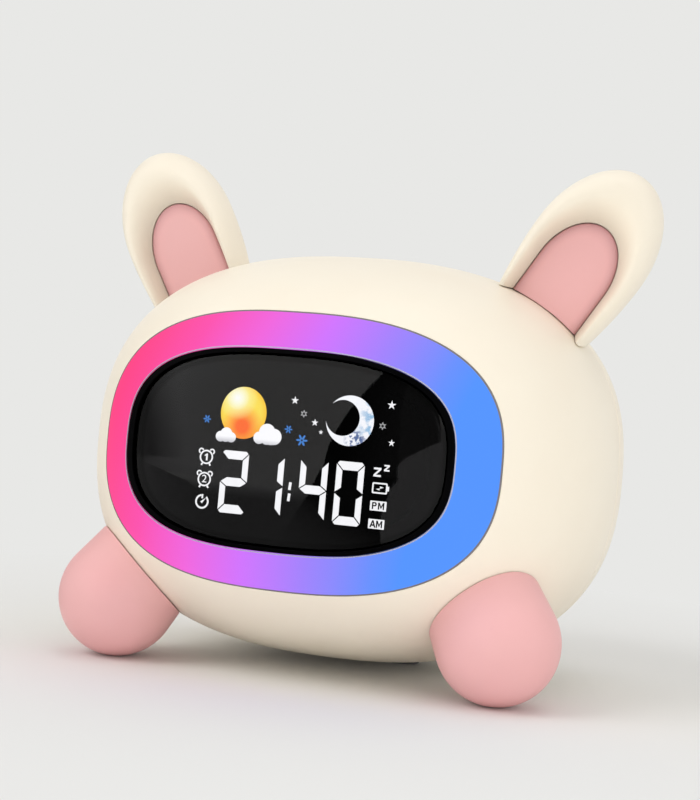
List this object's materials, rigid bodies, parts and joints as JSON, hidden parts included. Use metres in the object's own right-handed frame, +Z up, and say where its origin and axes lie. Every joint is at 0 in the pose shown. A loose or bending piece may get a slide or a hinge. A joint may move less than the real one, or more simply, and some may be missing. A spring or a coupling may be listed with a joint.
{
  "type": "bedside alarm clock",
  "caption": "Rabbit-eared bedside alarm clock and night light with a glowing ring round its display, ball feet, and a rear panel with push buttons, a slide switch and a charging socket.",
  "frame": {"origin": "middle of the rubber base pad's underside, on the surface that the clock stands on", "axes": "+Z up; the display looks towards -Y; +X is to the right as seen from the front"},
  "size_m": [0.1478, 0.1049, 0.131],
  "materials": {
    "cream_shell": "warm cream, soft satin",
    "pink_liner": "soft pink, satin",
    "pink_foot": "soft pink, satin",
    "pink_button": "soft pink, satin",
    "ring_diffuser": "milky diffuser, lit pink on the left, purple in the middle and blue on the right",
    "white_plastic": "white, satin",
    "circuit_board": "green solder mask",
    "diode": "clear resin over a white package",
    "black_rim": "piano black, polished",
    "display_face": "black face with white digits and coloured icons",
    "smoked_lens": "clear smoked sheet, polished",
    "black_plastic": "black, moulded",
    "cell_sleeve": "cell in a blue shrink sleeve",
    "ribbon": "grey insulation",
    "sensor_can": "gold plated",
    "plated_steel": "nickel plated",
    "speaker_paper": "pressed paper cone",
    "base_rubber": "matt grey"
  },
  "bodies": {
    "clock": {"front_shell": "cream_shell", "back_shell": "cream_shell", "rear_panel": "cream_shell", "light_ring": "ring_diffuser", "ring_reflector": "white_plastic", "ring_led_board": "circuit_board", "ring_leds": "diode", "display_bezel": "black_rim", "display_lens": "smoked_lens", "display_module": "display_face", "main_board": "circuit_board", "main_chips": "black_plastic", "vibration_sensor": "sensor_can", "battery_holder": "black_plastic", "battery_cell": "cell_sleeve", "ribbon_cable": "ribbon", "button_board": "circuit_board", "tact_switches": "black_plastic", "switch_body": "plated_steel", "usb_socket": "plated_steel", "speaker_frame": "plated_steel", "speaker_cone": "speaker_paper", "ear_left": "cream_shell", "ear_right": "cream_shell", "ear_liner_left": "pink_liner", "ear_liner_right": "pink_liner", "ear_screws": "plated_steel", "foot_left": "pink_foot", "foot_right": "pink_foot", "foot_screws": "plated_steel", "base_pad": "base_rubber", "case_screws": "plated_steel", "panel_screws": "plated_steel", "board_screws": "plated_steel", "reflector_screws": "plated_steel"},
    "button_set": {"button_set": "pink_button"},
    "button_down": {"button_down": "pink_button"},
    "button_up": {"button_up": "pink_button"},
    "button_mode": {"button_mode": "pink_button"},
    "button_light": {"button_light": "pink_button"},
    "button_sound": {"button_sound": "pink_button"},
    "switch_knob": {"switch_knob": "black_plastic"}
  },
  "joints": [
    {"name": "button_set_press", "type": "slide", "parent": "clock", "child": "button_set", "axis": [0, -0.9992, 0.0401], "range_m": [0, 0.0008], "stiffness_N_per_m": 400},
    {"name": "button_down_press", "type": "slide", "parent": "clock", "child": "button_down", "axis": [0, -0.9992, 0.0401], "range_m": [0, 0.0008], "stiffness_N_per_m": 400},
    {"name": "button_up_press", "type": "slide", "parent": "clock", "child": "button_up", "axis": [0, -0.9992, 0.0401], "range_m": [0, 0.0008], "stiffness_N_per_m": 400},
    {"name": "button_mode_press", "type": "slide", "parent": "clock", "child": "button_mode", "axis": [0, -0.9992, 0.0401], "range_m": [0, 0.0008], "stiffness_N_per_m": 400},
    {"name": "button_light_press", "type": "slide", "parent": "clock", "child": "button_light", "axis": [0, -0.9992, 0.0401], "range_m": [0, 0.0008], "stiffness_N_per_m": 400},
    {"name": "button_sound_press", "type": "slide", "parent": "clock", "child": "button_sound", "axis": [0, -0.9992, 0.0401], "range_m": [0, 0.0008], "stiffness_N_per_m": 400},
    {"name": "power_slide", "type": "slide", "parent": "clock", "child": "switch_knob", "axis": [1, 0, 0], "range_m": [0, 0.003]}
  ]
}
